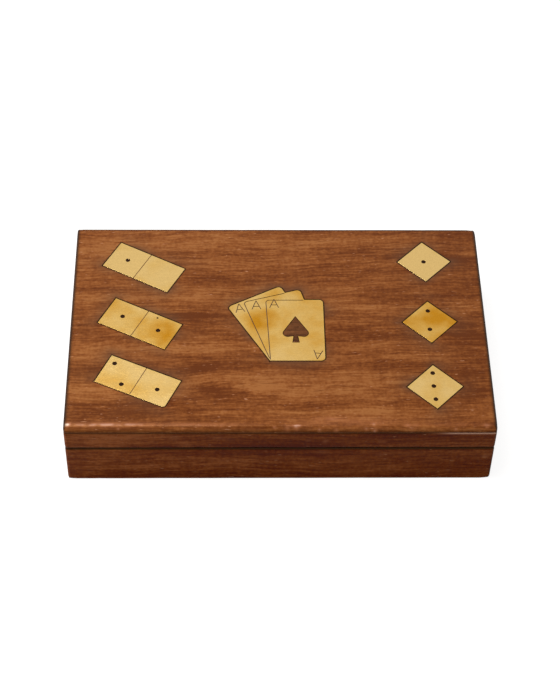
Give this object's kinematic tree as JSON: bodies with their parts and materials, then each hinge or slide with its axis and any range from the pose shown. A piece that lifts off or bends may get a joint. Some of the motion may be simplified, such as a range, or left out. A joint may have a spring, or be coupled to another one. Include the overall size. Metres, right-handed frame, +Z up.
{
  "type": "game box",
  "caption": "Flat wooden box with a hinged lid inlaid with brass dominoes, playing cards and dice, and lined bays for the games inside.",
  "frame": {"origin": "under the middle of the box, on the surface that it stands on", "axes": "+X to the right along the long front, +Y to the back where the hinges are, +Z up"},
  "size_m": [0.2036, 0.1296, 0.039],
  "materials": {
    "rosewood": "French-polished Indian rosewood, satin to gloss",
    "panel_wood": "thin plywood, lightly varnished",
    "velvet": "short-pile velvet",
    "inlay_brass": "flush-filed sheet, lightly tarnished under old polish",
    "hinge_brass": "turned and pressed, dull",
    "dark_cement": "dark shellac cement, dull"
  },
  "bodies": {
    "base": {"base_front_wall": "rosewood", "base_right_wall": "rosewood", "base_back_wall": "rosewood", "base_left_wall": "rosewood", "base_bottom_panel": "panel_wood", "domino_divider": "rosewood", "card_divider": "rosewood", "dice_divider": "rosewood", "left_domino_bay_lining": "velvet", "right_domino_bay_lining": "velvet", "card_bay_lining": "velvet", "dice_bay_lining": "velvet", "left_hinge_base_leaf": "hinge_brass", "left_hinge_pin": "hinge_brass", "left_hinge_base_screws": "hinge_brass", "right_hinge_base_leaf": "hinge_brass", "right_hinge_pin": "hinge_brass", "right_hinge_base_screws": "hinge_brass"},
    "lid": {"lid_front_rail": "rosewood", "lid_right_rail": "rosewood", "lid_back_rail": "rosewood", "lid_left_rail": "rosewood", "lid_top_board": "rosewood", "lid_lining": "velvet", "left_hinge_lid_leaf": "hinge_brass", "left_hinge_lid_screws": "hinge_brass", "right_hinge_lid_leaf": "hinge_brass", "right_hinge_lid_screws": "hinge_brass", "back_domino_inlay": "inlay_brass", "middle_domino_inlay": "inlay_brass", "front_domino_inlay": "inlay_brass", "domino_pip_fillings": "dark_cement", "one_die_inlay": "inlay_brass", "two_die_inlay": "inlay_brass", "three_die_inlay": "inlay_brass", "die_pip_fillings": "dark_cement", "card_fan_inlay": "inlay_brass", "spade_insert": "rosewood"}
  },
  "joints": [
    {"name": "lid_hinge", "type": "hinge", "parent": "base", "child": "lid", "pos_m": [0, 0.06255, 0.02405], "axis": [-1, 0, 0], "range_deg": [0, 100]}
  ]
}
